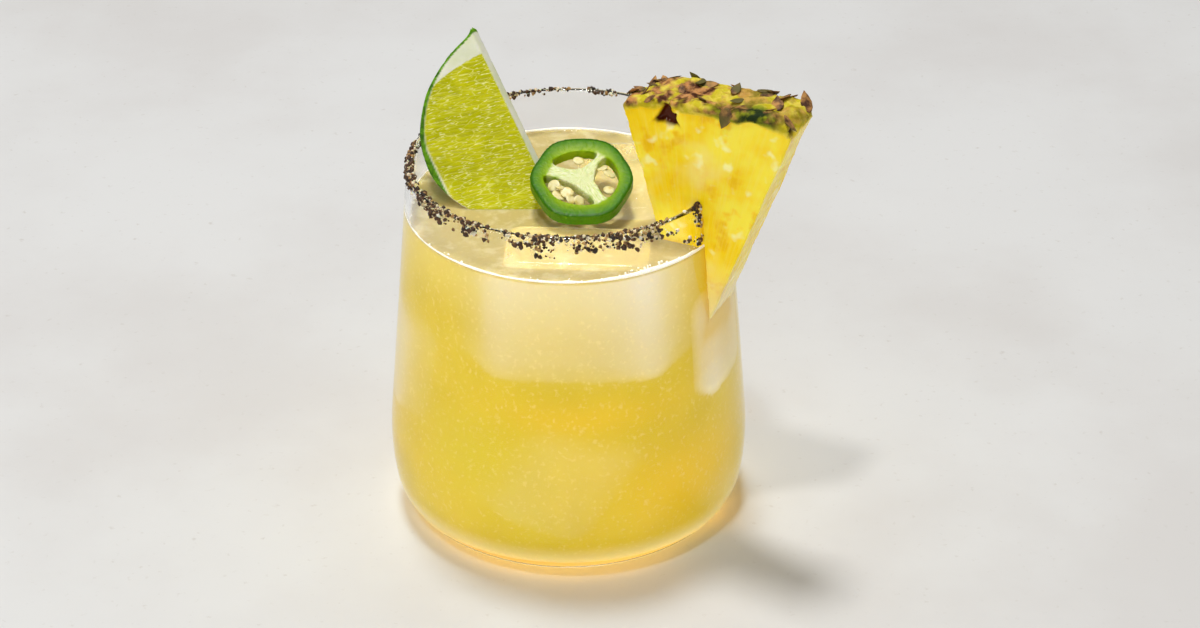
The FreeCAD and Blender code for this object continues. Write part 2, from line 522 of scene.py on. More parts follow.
# %% [markdown]
# ## The drink
# Cloudy juice is a scattering liquid: where ice lies close to the wall there is hardly any juice in
# front of it and the wall looks pale cream, and where the juice is deep it is a full yellow. A true
# scattering volume is slow and noisy. Here the drink is one turned skin that reaches just into the
# wall, so no air gap shows. From each point of it a line is walked inwards, and how far it goes
# before it meets ice is stored for the material to paint.

# %% Where the sunk ice lies
def turned_box(middle, size, turn=0.0, tip=0.0, roll=0.0):
    """Middle, half size and turn of an ice cube, in mm and degrees."""
    spin = Matrix.Rotation(math.radians(turn), 3, "Z") @ Matrix.Rotation(math.radians(tip), 3, "X")
    spin = spin @ Matrix.Rotation(math.radians(roll), 3, "Y")
    return np.array(middle) * MM, np.array(size) * MM / 2, np.array(spin)


sunk_ice = {
    "ice_right": turned_box((28.2, -14.5, 54), (12.5, 18, 28), -6),
    "ice_low": turned_box((-1.5, -23.5, 22), (19, 20, 26), 2, -5, 24),
    "ice_left": turned_box((-24, -3, 42), (20, 23, 28), -20, 4, 3),
    "ice_back_left": turned_box((-15, 21, 58), (27, 24, 27), 12, 4, 10),
    "ice_back_low": turned_box((17, 17, 31), (29, 26, 28), 30, 14, -12),
}


def standing_box(node, size, turn, tip):
    """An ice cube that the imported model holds, at the middle of its box."""
    low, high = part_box(node)
    middle = [(a + b) / 2 / MM for a, b in zip(low, high)]
    return turned_box(middle, size, turn, tip)


standing_ice = {
    "ice_front": standing_box("ice_cube_front", (35, 18.5, 34), -4, 5),
    "ice_under_slice": standing_box("ice_cube_under_slice", (20, 23, 24), 0, 18),
}


def box_distance(points, ice, rounding=4.5 * MM):
    """Signed distance from points to a rounded box."""
    middle, half, spin = ice
    local = np.abs((points - middle) @ spin) - (half - rounding)
    outside = np.linalg.norm(np.maximum(local, 0), axis=-1)
    inside = np.minimum(local.max(axis=-1), 0)
    return outside + inside - rounding


def juice_depth(points, way, ice, reach=20 * MM, step=0.5 * MM):
    """How far a line goes before it meets the ice, and how near it passes to it."""
    depth = np.full(len(points), reach)
    passing = np.full(len(points), reach)
    for gone in np.arange(0, reach, step):
        gap = box_distance(points + way * gone, ice)
        passing = np.minimum(passing, gap)
        depth = np.where((gap < 0) & (depth == reach), gone, depth)
    return depth, passing


plainness = {"ice_low": 0.32, "ice_left": 0.75, "ice_right": 0.95}
print("ice cubes:", len(sunk_ice), "sunk,", len(standing_ice), "standing")

# %% [markdown]
# The pineapple and the drink need each other's place: where the wedge stands in the juice against the
# wall, the wall shows deep golden yellow. So the wedge's own frame is set up first. It is measured
# from the centre of the round slice that it was cut from.

# %% The pineapple's own frame
pine_turn = math.radians(-26.5)
pine_out = np.array([math.cos(pine_turn), math.sin(pine_turn), 0])
pine_across = np.array([-math.sin(pine_turn), math.cos(pine_turn), 0])
pine_centre = (rim_r - 1.7 * MM, rim_z - 42.5 * MM)
pine_r = 68 * MM
pine_half = 6.3 * MM
pine_sides = (math.radians(-16.8), math.radians(19.8))
pine_trim = 8 * MM


def pine_measure(points):
    """Outward, across and up from the slice's centre, with the distance and angle in its plane."""
    x = points @ pine_out - pine_centre[0]
    z = points[:, 2] - pine_centre[1]
    return x, points @ pine_across, z, np.hypot(x, z), np.arctan2(x, z)


print("slice centre, outward and up:", [round(v / MM, 1) for v in pine_centre])

# %% Skin of the drink
into_wall = 0.35 * MM
drink_inset = wall - into_wall
drink_skin = skin_section(drink_inset, inner_corner + into_wall, floor_z - into_wall)
drink_top = level - 0.3 * MM
tall = [(float(wall_radius(drink_inset, z)), z) for z in np.linspace(drink_skin[-1][1], drink_top, 84)[1:]]
edge = float(wall_radius(wall, level))
surface = [(r, level) for r in np.linspace(edge - 0.5 * MM, 0, 40)]
drink_mesh = lathe("drink", drink_skin + tall + surface, 448)
spots = points_of(drink_mesh)
radius = np.maximum(np.hypot(spots[:, 0], spots[:, 1]), 1e-6)
bearing = np.degrees(np.arctan2(spots[:, 1], spots[:, 0]))
height = spots[:, 2] / MM
on_top = smooth(level - 0.6 * MM, level - 0.1 * MM, spots[:, 2])
look_down = math.radians(24)
ahead = math.cos(look_down)
inwards = np.stack([-spots[:, 0] / radius * ahead, -spots[:, 1] / radius * ahead,
                    np.full(len(spots), -math.sin(look_down))], -1)
inwards = mix(inwards, np.array([0, 0, -1.0]), on_top[:, None])
print("drink points", len(spots))

# %% Paint of the drink: ice behind the juice
pale = np.zeros(len(spots))
painted_ice_highlight = np.zeros(len(spots))
waver = 0.5 * MM * noise(spots, 6 * MM, 17)
for name, ice in {**sunk_ice, **standing_ice}.items():
    depth, passing = juice_depth(spots, inwards, ice)
    blur = 1.4 * MM + 0.35 * np.minimum(depth, 12 * MM)
    seen = smooth(0.6 * blur, -blur, passing + waver)
    seen = seen * plainness.get(name, 1.0)
    pale = np.maximum(pale, seen * np.exp(-np.maximum(depth - 1 * MM, 0) / (8.5 * MM)))
    # Painted highlight: a bright pale line where a rounded ice edge comes close to the wall.
    rounded = smooth(-3.2 * MM, -1.2 * MM, passing) * smooth(0.8 * MM, -0.4 * MM, passing)
    painted_ice_highlight = np.maximum(painted_ice_highlight, rounded * np.exp(-depth / (4.5 * MM)) * plainness.get(name, 1.0))


def patch_at(angle, width, z, tall_by):
    """A soft oval patch on the wall, round a bearing in degrees and a height in mm."""
    off = (bearing - angle + 180) % 360 - 180
    return np.exp(-((off / width) ** 2) - ((height - z) / tall_by) ** 2)


# Painted light and shade: deeper gold patches, strongest low on the right where light gathers through the
# drink, and greener olive patches of painted shade low on the left and at the back.
painted_gold_light = patch_at(-48, 26, 24, 13) + 0.7 * patch_at(-86, 34, 47, 5) + 0.5 * patch_at(150, 60, 30, 16)
painted_olive_shade = patch_at(-122, 20, 34, 13) + 0.5 * patch_at(-104, 12, 16, 8) + 0.3 * patch_at(60, 40, 22, 14)
# Painted light: the wall is painted paler cream at the foot and in a band under the foam.
lit_foot = smooth(12, 5, height) * (1 - on_top)
under_foam = smooth(66, 83, height) * (1 - on_top)
x, across, z, out, angle = pine_measure(spots)
side_gap = np.minimum(angle - pine_sides[0], pine_sides[1] - angle) * out
in_wedge = np.minimum(np.minimum(side_gap, pine_half - np.abs(across)), out - pine_trim)
near_fruit = np.minimum(in_wedge + 1.2 * MM * noise(spots, 5 * MM, 18), 0)
fruit = np.exp(near_fruit / (4.6 * MM)) * (1 - on_top)
store(drink_mesh, "pale", pale * (1 - 0.6 * on_top))
store(drink_mesh, "painted_ice_highlight", painted_ice_highlight)
store(drink_mesh, "painted_gold_light", np.clip(painted_gold_light, 0, 1))
store(drink_mesh, "painted_olive_shade", np.clip(painted_olive_shade, 0, 1))
store(drink_mesh, "lit", np.clip(lit_foot + 0.35 * under_foam, 0, 1))
store(drink_mesh, "fruit", fruit)
# Painted light: the glow is stronger on the side that faces right and at the foot.
facing_right = np.clip(spots[:, 0] / radius, 0, 1)
store(drink_mesh, "glow", 0.22 + 0.14 * facing_right + 0.20 * smooth(8, 4.9, height))
store(drink_mesh, "surface", on_top)
print("wall over ice:", round(float(np.mean(pale > 0.4)), 2), "of the skin")

# %% [markdown]
# The finish is a glossy skin with light scattering a few millimetres under it. Shadow rays pass
# through it tinted yellow, as sunlight does, so the shadow under the glass is golden and not grey.
# A faint glow of its own colour stands in for the light that wanders through the whole drink.

# %% Drink material
juice, n, shader = new_material("cloudy_juice", (0.7, (1.0, 0.75, 0.3), 0.0035), IOR=1.34,
                                Specular_IOR_Level=0.3)
spot = n.place()
lump = mottle(n, spot, 46.0, 0.30, 0.72, rgb(200, 176, 18), rgb(210, 186, 40), detail=3.0)
pulp = mask(n, spot, 900.0, 0.54, 0.72)
# Painted light and shade from the stored patches: deeper gold light, olive shade, and paler light at the
# foot and under the foam.
tone = n.blend(n.attribute("painted_gold_light"), lump["Colour"], rgb(218, 184, 14))
tone = n.blend(n.attribute("painted_olive_shade"), tone, rgb(204, 184, 34))
tone = n.blend(n.math("MULTIPLY", n.attribute("lit"), 0.8), tone, rgb(234, 222, 156))
over_ice = n.attribute("pale")
tone = n.blend(n.math("MULTIPLY", over_ice, 0.95, clamp=True), tone, rgb(224, 216, 196))
# Painted highlight along the rounded ice edges near the wall.
tone = n.blend(n.math("MULTIPLY", n.attribute("painted_ice_highlight"), 0.8), tone, rgb(240, 232, 200))
froth = mottle(n, spot, 210.0, 0.48, 0.66, rgb(196, 176, 112), rgb(212, 196, 142), detail=5.0)["Colour"]
top_tone = n.blend(n.math("MULTIPLY", over_ice, 0.8), froth, rgb(202, 186, 130))
tone = n.blend(n.attribute("surface"), tone, top_tone)
tone = n.blend(n.math("MULTIPLY", pulp, 0.18), tone, rgb(248, 232, 170))
tone = n.blend(n.math("MULTIPLY", n.attribute("fruit"), 0.7), tone, rgb(212, 176, 14))
top_glow = n.blend(n.attribute("surface"), tone, BLACK)
feed(n, shader, Base_Color=tone, Emission_Color=top_glow, Emission_Strength=n.attribute("glow"),
     Roughness=n.ramp(n.attribute("surface"), 0.0, 1.0, 0.12, 0.32))
tint_shadow(n, shader, (0.54, 0.36, 0.02, 1))
drink = piece("drink_juice", drink_mesh, juice)
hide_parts("drink")
print("drink faces", len(drink_mesh.polygons))

# %% [markdown]
# ## Scattered grains, bubbles and seeds
# Salt, pepper and bubbles are all the same rule: many small shapes strewn over a surface, thicker
# here and thinner there. One Geometry Nodes tree does it for all of them. The surface carries a
# "cover" number that says how thick the scatter is, and the seed is fixed so that it never changes.


# %% The scatter tree
def strewn_over(n, given):
    """Random points over a surface, thick where its cover number is high."""
    cover = n.add("GeometryNodeInputNamedAttribute", {"Name": "cover"}, data_type="FLOAT").outputs[0]
    dense = n.math("MULTIPLY", cover, given["Per square metre"])
    return n.add("GeometryNodeDistributePointsOnFaces",
                 {"Mesh": given["Surface"], "Density": dense, "Seed": given["Seed"]}).outputs


def random_vector(n, low, high, seed):
    return n.add("FunctionNodeRandomValue", {"Min": low, "Max": high, "Seed": seed},
                 data_type="FLOAT_VECTOR").outputs[0]


def random_number(n, low, high, seed):
    return n.add("FunctionNodeRandomValue", {2: low, 3: high, "Seed": seed}, data_type="FLOAT").outputs[1]


def set_copies(n, given, shape, points, turn, scale, result):
    """Sets a shape on every point, makes the copies real and gives them their finish."""
    one = n.add("GeometryNodeObjectInfo", {"Object": given[shape]}).outputs["Geometry"]
    placed = n.add("GeometryNodeInstanceOnPoints", {"Points": points, "Instance": one,
                                                    "Rotation": turn, "Scale": scale})
    whole = n.add("GeometryNodeRealizeInstances", {"Geometry": placed.outputs[0]})
    done = n.add("GeometryNodeSetMaterial", {"Geometry": whole.outputs[0], "Material": given["Finish"]})
    n.add("NodeGroupOutput", {result: done.outputs[0]})


def scatter_tree():
    tree, n, given = new_group(
        "scatter",
        (("Surface", "Geometry"), ("Grain", "Object"), ("Per square metre", "Float"), ("Smallest", "Float"),
         ("Largest", "Float"), ("Flatten", "Float"), ("Seed", "Int"), ("Finish", "Material")),
        (("Grains", "Geometry"),), "GeometryNodeTree")
    strewn = strewn_over(n, given)
    turn = random_vector(n, (0, 0, 0), (6.28, 6.28, 6.28), given["Seed"])
    skewed = n.math("POWER", random_number(n, 0.0, 1.0, n.math("ADD", given["Seed"], 7)), 1.7)
    span = n.math("SUBTRACT", given["Largest"], given["Smallest"])
    size = n.math("ADD", given["Smallest"], n.math("MULTIPLY", skewed, span))
    low = n.math("SUBTRACT", 1.0, given["Flatten"])
    flattest = n.add("ShaderNodeCombineXYZ", {0: low, 1: low, 2: low}).outputs[0]
    uneven = random_vector(n, flattest, (1.0, 1.0, 1.0), n.math("ADD", given["Seed"], 3))
    scale = n.add("ShaderNodeVectorMath", {0: uneven, "Scale": size}, operation="SCALE").outputs[0]
    set_copies(n, given, "Grain", strewn["Points"], turn, scale, "Grains")
    return tree


scatter = scatter_tree()


def grown(name, mesh, tree, values):
    """The mesh that a tree makes from another one, with its inputs set by their identifiers."""
    holder = bpy.data.objects.new(name, mesh)
    scene.collection.objects.link(holder)
    modifier = holder.modifiers.new(tree.name, "NODES")
    modifier.node_group = tree
    sockets = {item.name: item.identifier for item in tree.interface.items_tree if item.in_out == "INPUT"}
    for label, value in values.items():
        modifier[sockets[label]] = value
    return baked(holder, name)


def strew(name, surface, grain, per_mm2, sizes, seed, material, flatten=0.35):
    """Runs the scatter tree on a surface mesh and returns the grains as one plain piece."""
    mesh = grown(name, surface.copy(), scatter, {
        "Grain": grain, "Per square metre": per_mm2 / MM**2, "Smallest": sizes[0] * MM,
        "Largest": sizes[1] * MM, "Flatten": flatten, "Seed": seed, "Finish": material})
    obj = piece(name, mesh, material)
    print(name, "faces", len(mesh.polygons))
    return obj


def template(name, build):
    """A small shape of unit width, used by the trees and never shown itself."""
    return bpy.data.objects.new(name, built(name, build))


def chipped(subdivisions, roughness, seed):
    """A pebble: a ball with its points pushed in and out."""
    def build(work):
        bmesh.ops.create_icosphere(work, subdivisions=subdivisions, radius=0.5)
        points = np.array([v.co for v in work.verts])
        push = 1 + roughness * noise(points, 0.45, seed)
        for vert, factor in zip(work.verts, push):
            vert.co *= factor
    return build


# %% [markdown]
# ## The ice
# Bar ice is a tray cube whose edges have melted round, with faces that dip a little. Two cubes stand
# above the drink and carry the pepper slice: their skins are grown from the CAD solids and given that
# waviness. The sunk ones are made here, and the skin of the drink hides them: what is seen of them
# is its paint.

# %% Ice pieces
ice_clear = clear_material("wet_ice", (0.985, 0.98, 0.95, 1), 0.07, 1.31)
tree = ice_clear.node_tree
n = Nodes(tree)
spot = n.place()
frost = mask(n, spot, 160.0, 0.45, 0.75, detail=4.0)
shader = tree.nodes["Principled BSDF"]
feed(n, shader, Roughness=n.ramp(frost, 0.0, 1.0, 0.04, 0.30),
     Normal=n.bump(n.noise(220.0, spot, detail=3.0), 0.25, 0.0004))

for node, name in (("ice_cube_front", "ice_front"), ("ice_cube_under_slice", "ice_under_slice")):
    mesh = skin_of(node, 0.8 * MM, name, smoothing=4)
    points = points_of(mesh)
    dip = noise(points, 9 * MM, 5, octaves=2)
    move_points(mesh, points + normals_of(mesh) * (0.25 * MM * np.minimum(dip, 0))[:, None])
    cube = piece(name, mesh, ice_clear)
    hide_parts(node)


def melted_cube(work):
    bmesh.ops.create_cube(work, size=2.0)
    bmesh.ops.bevel(work, geom=work.edges[:], offset=0.3, segments=4, affect="EDGES", profile=0.5)


for number, (name, (middle, half, spin)) in enumerate(sunk_ice.items()):
    mesh = built(name, melted_cube)
    points = points_of(mesh) * half
    points = points + noise(points, 12 * MM, number)[:, None] * 0.02 * points
    move_points(mesh, points @ spin.T + middle)
    cube = piece(name, mesh, ice_clear)
print("ice cubes:", 2 + len(sunk_ice))

# %% [markdown]
# ## The bead of foam
# Shaken juice leaves a thin bead of fine bubbles where the surface meets the glass. It is a ring that
# swells and thins, with single bubbles strewn along it.

# %% Foam ring and bubbles
# The foam's faint emission is a painted glow that keeps it white inside the glass.
foam_white, n, shader = new_material("foam", (0.4, (1.0, 0.9, 0.7), 0.0015), Roughness=0.25, IOR=1.33,
                                     Emission_Color=rgb(255, 250, 235), Emission_Strength=0.25)
fizz = cell_walls(n, n.place(), 1500.0, 0.12)
feed(n, shader, Base_Color=n.blend(fizz["Walls"], rgb(250, 247, 236), rgb(236, 226, 196)),
     Normal=n.bump(fizz["Swell"], 0.4, 0.0002))


def ring_mesh(name, radius, z, thickness, steps=480, sides=10):
    """A ring inside the wall, touching a radius, whose thickness follows a function of the angle."""
    around = np.linspace(0, 2 * math.pi, steps, endpoint=False)
    across = np.linspace(0, 2 * math.pi, sides, endpoint=False)
    girth = thickness(around)[:, None]
    out = radius - girth + girth * np.cos(across)
    up = z + girth * (0.2 + 1.15 * np.sin(across))
    points = np.stack([out * np.cos(around)[:, None], out * np.sin(around)[:, None], up], -1).reshape(-1, 3)
    faces = []
    for i in range(steps):
        j = (i + 1) % steps
        for k in range(sides):
            m = (k + 1) % sides
            faces.append((i * sides + k, j * sides + k, j * sides + m, i * sides + m))
    return mesh_from(name, points, faces)


def bell(angle, middle, width):
    """1 at a bearing in degrees, fading to 0 a few widths away."""
    off = (angle - middle + 180) % 360 - 180
    return np.exp(-((off / width) ** 2))


def foam_girth(angle):
    circle = np.stack([np.cos(angle), np.sin(angle), np.zeros_like(angle)], -1)
    degrees = np.degrees(angle)
    swell = 0.14 * noise(circle, 0.10, 11) + 0.24 * bell(degrees, -58, 20) + 0.10 * bell(degrees, -30, 10)
    return (0.27 + swell + 0.08 * bell(degrees, 90, 60)) * MM


foam_mesh = ring_mesh("foam_ring", edge + 0.5 * MM, level, foam_girth)
foam = piece("foam_ring", foam_mesh, foam_white)
strip = ring_mesh("foam_strip", edge, level, lambda a: 2.2 * foam_girth(a), sides=6)
flat = points_of(strip)
flat[:, 2] = level + 0.05 * MM
move_points(strip, flat)
bearings = np.degrees(np.arctan2(flat[:, 1], flat[:, 0]))
store(strip, "cover", smooth(-0.1, 0.5, noise(flat, 5 * MM, 3)) + bell(bearings, -58, 18))
bubble = template("bubble", lambda work: bmesh.ops.create_icosphere(work, subdivisions=2, radius=0.5))
bubbles = strew("foam_bubbles", strip, bubble, 0.4, (0.25, 0.8), 4, foam_white, flatten=0.1)
print("foam ring", [round(float(v) / MM, 2) for v in foam_girth(np.array([0.0, 1.0]))], "mm")

# %% [markdown]
# ## The lime wedge
# A sixth of a lime, cut from tip to tip, with the white core pared off. Its skin is grown from the
# CAD wedge. Each point is then measured in the fruit's own terms: along the core, out from it, and
# under the rind. Those numbers say where green rind, white pith and juice sacs lie, so one mesh can
# be coloured and embossed without any seams to match up.

# %% The lime's own frame
lime_core = Vector((-0.428, 0.469, 0.772)).normalized()
lime_face = Vector((0.0, -0.855, 0.52)).normalized()
lime_side = lime_core.cross(lime_face).normalized() * -1
lime_trim = 2.8 * MM
lime_angle = math.radians(60)
lime_axes = np.array([lime_side, lime_face, lime_core]).T
lime_cad = points_of(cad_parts["lime_wedge"].data) @ lime_axes
pared_near = lime_trim / math.cos(lime_angle / 2)
lime_origin = np.array([
    lime_cad[:, 0].min() - pared_near * math.cos(lime_angle),
    lime_cad[:, 1].max(),
    (lime_cad[:, 2].max() + lime_cad[:, 2].min()) / 2,
])
front = lime_cad - lime_origin
front = front[front[:, 1] > -0.01 * MM]
front = front[np.argsort(front[:, 2])]
rim_line = front[front[:, 0] > pared_near * 1.02]
lime_half = (lime_cad[:, 2].max() - lime_cad[:, 2].min()) / 2
print("lime half length", round(lime_half / MM, 1), "radius", round(rim_line[:, 0].max() / MM, 1))

# %% Lime mesh: relief and stored numbers
lime_mesh = skin_of("lime_wedge", 0.38 * MM, "lime_wedge", smoothing=1)
spots = points_of(lime_mesh)
local = spots @ lime_axes - lime_origin
along, out = local[:, 2], np.hypot(local[:, 0], local[:, 1])
turn = np.arctan2(-local[:, 1], local[:, 0])
skin_r = np.interp(along, rim_line[:, 2], rim_line[:, 0])
slope = np.gradient(rim_line[:, 0], rim_line[:, 2] + 1e-9 * np.arange(len(rim_line)))
skin_slope = np.interp(along, rim_line[:, 2], slope)
rind_depth = (skin_r - out) / np.sqrt(1 + np.clip(skin_slope, -3, 3) ** 2)
ends = 1 - np.clip(np.abs(along + 1 * MM) / (lime_half - 5.8 * MM), 0, 1) ** 5.5
flesh_r = (rim_line[:, 0].max() - 2.0 * MM) * np.sqrt(np.maximum(ends, 0))
ragged = 0.22 * MM * noise(spots, 1.6 * MM, 8)
core_edge = pared_near + 0.35 * MM + 0.25 * MM * noise(spots, 2 * MM, 9)
to_rind = np.minimum(flesh_r - out, rind_depth - 1.6 * MM)
to_core = out - core_edge + 0.9 * MM
bend, far = 2.0 * MM, 20 * MM
rounded = 0.4 * MM - bend * np.log(np.exp(-np.clip(to_rind, -far, far) / bend)
                                   + np.exp(-np.clip(to_core, -far, far) / bend))
flesh = smooth(-0.25 * MM, 0.35 * MM, rounded + ragged)
flesh[ends <= 0] = 0
on_cut = np.maximum(smooth(-0.35 * MM, -0.1 * MM, local[:, 1]),
                    smooth(0.35 * MM, 0.1 * MM, out * np.sin(lime_angle - turn)))
green = smooth(1.45 * MM, 1.05 * MM, rind_depth + 0.12 * MM * noise(spots, 1.2 * MM, 10))
sac = np.stack([(along - 0.20 * out) / (1.15 * MM), out / (4.6 * MM), turn * out / (1.6 * MM)], -1)
ridges = noise(sac, 1.0, 21, octaves=2)
lift = on_cut * flesh * (0.09 * ridges - 0.08) - on_cut * (1 - flesh) * 0.05
lift = lift - (1 - on_cut) * green * 0.10 * smooth(0.25, 0.8, noise(spots, 1.3 * MM, 30, octaves=1))
lift = lift + (1 - on_cut) * green * 0.30 * noise(spots, 7 * MM, 31, octaves=1)
move_points(lime_mesh, spots + normals_of(lime_mesh) * (lift * MM)[:, None])
store(lime_mesh, "flesh", flesh * on_cut)
store(lime_mesh, "green", green)
store(lime_mesh, "sac", sac)
print("lime points", len(spots))

# %% Lime material
# The pulp's faint emission is a painted glow in its own colour.
lime_skin, n, shader = new_material("lime", (0.35, (0.9, 1.0, 0.25), 0.002), IOR=1.4,
                                    Specular_IOR_Level=0.22, Emission_Strength=0.10)
spot = n.place()
sacs = n.attribute("sac", vector=True)
pulp, rind = n.attribute("flesh"), n.attribute("green")
juice_sacs = cell_walls(n, sacs, 1.25, 0.07)
clouds = mottle(n, spot, 170.0, 0.42, 0.68, rgb(174, 174, 2), rgb(190, 188, 14), detail=2.0)
threads = n.ramp(n.noise(3.4, sacs, detail=3.0), 0.50, 0.66)
# Painted highlight: short pale glints on the juice sacs.
painted_glint = n.ramp(n.noise(2.8, sacs, detail=1.0, rough=0.4), 0.62, 0.70)
walls_seen = n.math("MULTIPLY", juice_sacs["Walls"], n.ramp(n.noise(0.9, sacs), 0.35, 0.65, 0.1, 0.75))
sap = n.blend(n.math("MULTIPLY", threads, 0.25), clouds["Colour"], rgb(170, 170, 2))
sap = n.blend(walls_seen, sap, rgb(224, 222, 124))
sap = n.blend(n.math("MULTIPLY", painted_glint, 0.6), sap, rgb(238, 238, 176))
pith = mottle(n, spot, 200.0, 0.3, 0.7, rgb(230, 230, 212), rgb(216, 220, 184))["Colour"]
zest = mottle(n, spot, 420.0, 0.38, 0.62, rgb(56, 104, 6), rgb(104, 158, 18))["Colour"]
tone = n.blend(pulp, pith, sap)
tone = n.blend(rind, tone, zest)
pores = n.cells(900.0, spot)
relief = n.math("ADD", n.math("MULTIPLY", juice_sacs["Swell"], pulp),
                n.math("MULTIPLY", pores, n.math("MULTIPLY", rind, 0.35)))
feed(n, shader, Base_Color=tone, Emission_Color=n.blend(pulp, BLACK, sap),
     Normal=n.bump(relief, 0.25, 0.0004),
     Roughness=n.ramp(pulp, 0.0, 1.0, 0.42, 0.24))
lime = piece("lime_wedge", lime_mesh, lime_skin)
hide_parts("lime_wedge")
print("lime faces", len(lime_mesh.polygons))

# %% [markdown]
# ## The jalapeno slice
# A slice across a green pepper is a glossy dark skin round a juicy pale-green wall, with three hollow
# chambers, and between them the white ribs that meet in a spongy core and carry the seeds. It is grown
# from the CAD ring, and the distance from the middle, measured as a share of the rim, paints it.

# %% Pepper mesh: relief and stored numbers
tip = math.radians(18)
slice_axes = np.array([(1, 0, 0), (0, math.cos(tip), math.sin(tip)), (0, -math.sin(tip), math.cos(tip))]).T
slice_cad = points_of(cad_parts["jalapeno_slice"].data) @ slice_axes
slice_low, slice_high = slice_cad.min(0), slice_cad.max(0)
slice_origin = np.array([*((slice_low + slice_high) / 2)[:2], slice_high[2]])
slice_t = slice_high[2] - slice_low[2]
slice_r = 12.7 * MM
chambers = ((1, 50), (104, 40), (-128, 59))


def slice_share(points):
    """Angle of each point, and its distance from the middle as a share of the ring's rim."""
    angle = np.arctan2(points[:, 1], points[:, 0])
    rim_at = slice_r * (1 + 0.026 * np.cos(6 * angle) - 0.05 * np.cos(2 * angle))
    return np.degrees(angle), np.hypot(points[:, 0], points[:, 1]) / rim_at


pepper_mesh = skin_of("jalapeno_slice", 0.24 * MM, "jalapeno_slice", smoothing=2)
spots = points_of(pepper_mesh)
local = spots @ slice_axes - slice_origin
angle, share = slice_share(local)
top = smooth(-0.4 * MM, -0.1 * MM, local[:, 2])
grain = noise(local, 0.9 * MM, 40)
turn = np.radians(angle)
ragged = 0.025 * noise(np.stack([np.cos(turn), np.sin(turn), 0 * share], -1), 0.12, 44)
wall_part = smooth(0.66, 0.72, share + 0.02 * grain + ragged)
rib = np.ones(len(spots))
for middle, half in chambers:
    off = np.abs((angle - middle + 180) % 360 - 180)
    rib = np.minimum(rib, smooth(half - 8, half + 4, off))
pale = (1 - wall_part) * np.maximum(rib, smooth(0.56, 0.38, share))
lift = top * (0.18 * smooth(0.7, 0.85, share) - 0.25 * pale * (0.6 + grain)
              - 0.12 * smooth(0.92, 1.0, share))
lift = lift + 0.10 * noise(local, 4 * MM, 41)
move_points(pepper_mesh, spots + normals_of(pepper_mesh) * (lift * MM)[:, None])
store(pepper_mesh, "share", share)
store(pepper_mesh, "pale", pale)
store(pepper_mesh, "ribs", np.stack([np.radians(angle) * 9, share * 3, local[:, 2] / MM], -1))
print("pepper points", len(spots), "thickness", round(slice_t / MM, 2), "mm")

# %% Pepper material and piece
pepper_skin, n, shader = new_material("jalapeno", (0.3, (0.7, 1.0, 0.1), 0.002), IOR=1.42,
                                      Specular_IOR_Level=0.22)
spot = n.place()
ribs = n.attribute("ribs", vector=True)
share_at, pale_at = n.attribute("share"), n.attribute("pale")
fibre = n.noise(2.2, ribs, detail=3.0)
speck = mask(n, spot, 900.0, 0.42, 0.72, detail=2.0)
wall_tone = n.blend(n.ramp(share_at, 0.62, 0.95), rgb(156, 186, 8), rgb(66, 124, 0))
wall_tone = n.blend(n.math("MULTIPLY", speck, 0.5), wall_tone, rgb(104, 148, 4))
white = n.blend(n.ramp(fibre, 0.35, 0.7), rgb(234, 236, 196), rgb(200, 214, 122))
tone = n.blend(pale_at, wall_tone, white)
tone = n.blend(n.ramp(share_at, 0.925, 0.965), tone, rgb(52, 102, 0))
tone = n.blend(n.ramp(share_at, 0.985, 1.01), tone, rgb(82, 138, 4))
feed(n, shader, Base_Color=tone, Normal=n.bump(n.math("ADD", speck, fibre), 0.25, 0.0003),
     Roughness=n.ramp(share_at, 0.93, 0.99, 0.42, 0.32))
pepper = piece("jalapeno_slice", pepper_mesh, pepper_skin)
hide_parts("jalapeno_slice")

# %% [markdown]
# Seeds hang from the core into the chambers. They are flat cream discs with a thicker edge. Ten of
# them are set on given spots with a short Geometry Nodes tree, each with its own tilt and size.

# %% Seeds
seed_white, n, shader = new_material("pepper_seed", (0.3, (1.0, 0.9, 0.5), 0.001), Roughness=0.35, IOR=1.42)
spot = n.place()
tone = n.blend(n.ramp(n.noise(700.0, spot), 0.4, 0.7), rgb(244, 232, 178), rgb(226, 204, 120))
feed(n, shader, Base_Color=tone, Normal=n.bump(n.noise(1500.0, spot), 0.3, 0.0002))


def seed_shape(work):
    """A flat disc, hollowed a little, with a thicker edge and a small beak."""
    bmesh.ops.create_uvsphere(work, u_segments=20, v_segments=10, radius=0.5)
    for vert in work.verts:
        reach = min(1, 2 * math.hypot(vert.co.x, vert.co.y))
        vert.co.z *= 0.16 + 0.16 * reach**2
        if vert.co.x > 0.3:
            vert.co.x += 0.35 * (vert.co.x - 0.3)
            vert.co.y *= 0.8


def seed_tree():
    tree, n, given = new_group(
        "seeds",
        (("Spots", "Geometry"), ("Seed shape", "Object"), ("Width", "Float"), ("Random seed", "Int"),
         ("Finish", "Material")),
        (("Seeds", "Geometry"),), "GeometryNodeTree")
    dots = n.add("GeometryNodeMeshToPoints", {"Mesh": given["Spots"]}).outputs[0]
    lean = random_vector(n, (-0.7, -0.7, 0.0), (0.7, 0.7, 6.28), given["Random seed"])
    lot = random_number(n, 0.82, 1.12, given["Random seed"])
    set_copies(n, given, "Seed shape", dots, lean, n.math("MULTIPLY", lot, given["Width"]), "Seeds")
    return tree


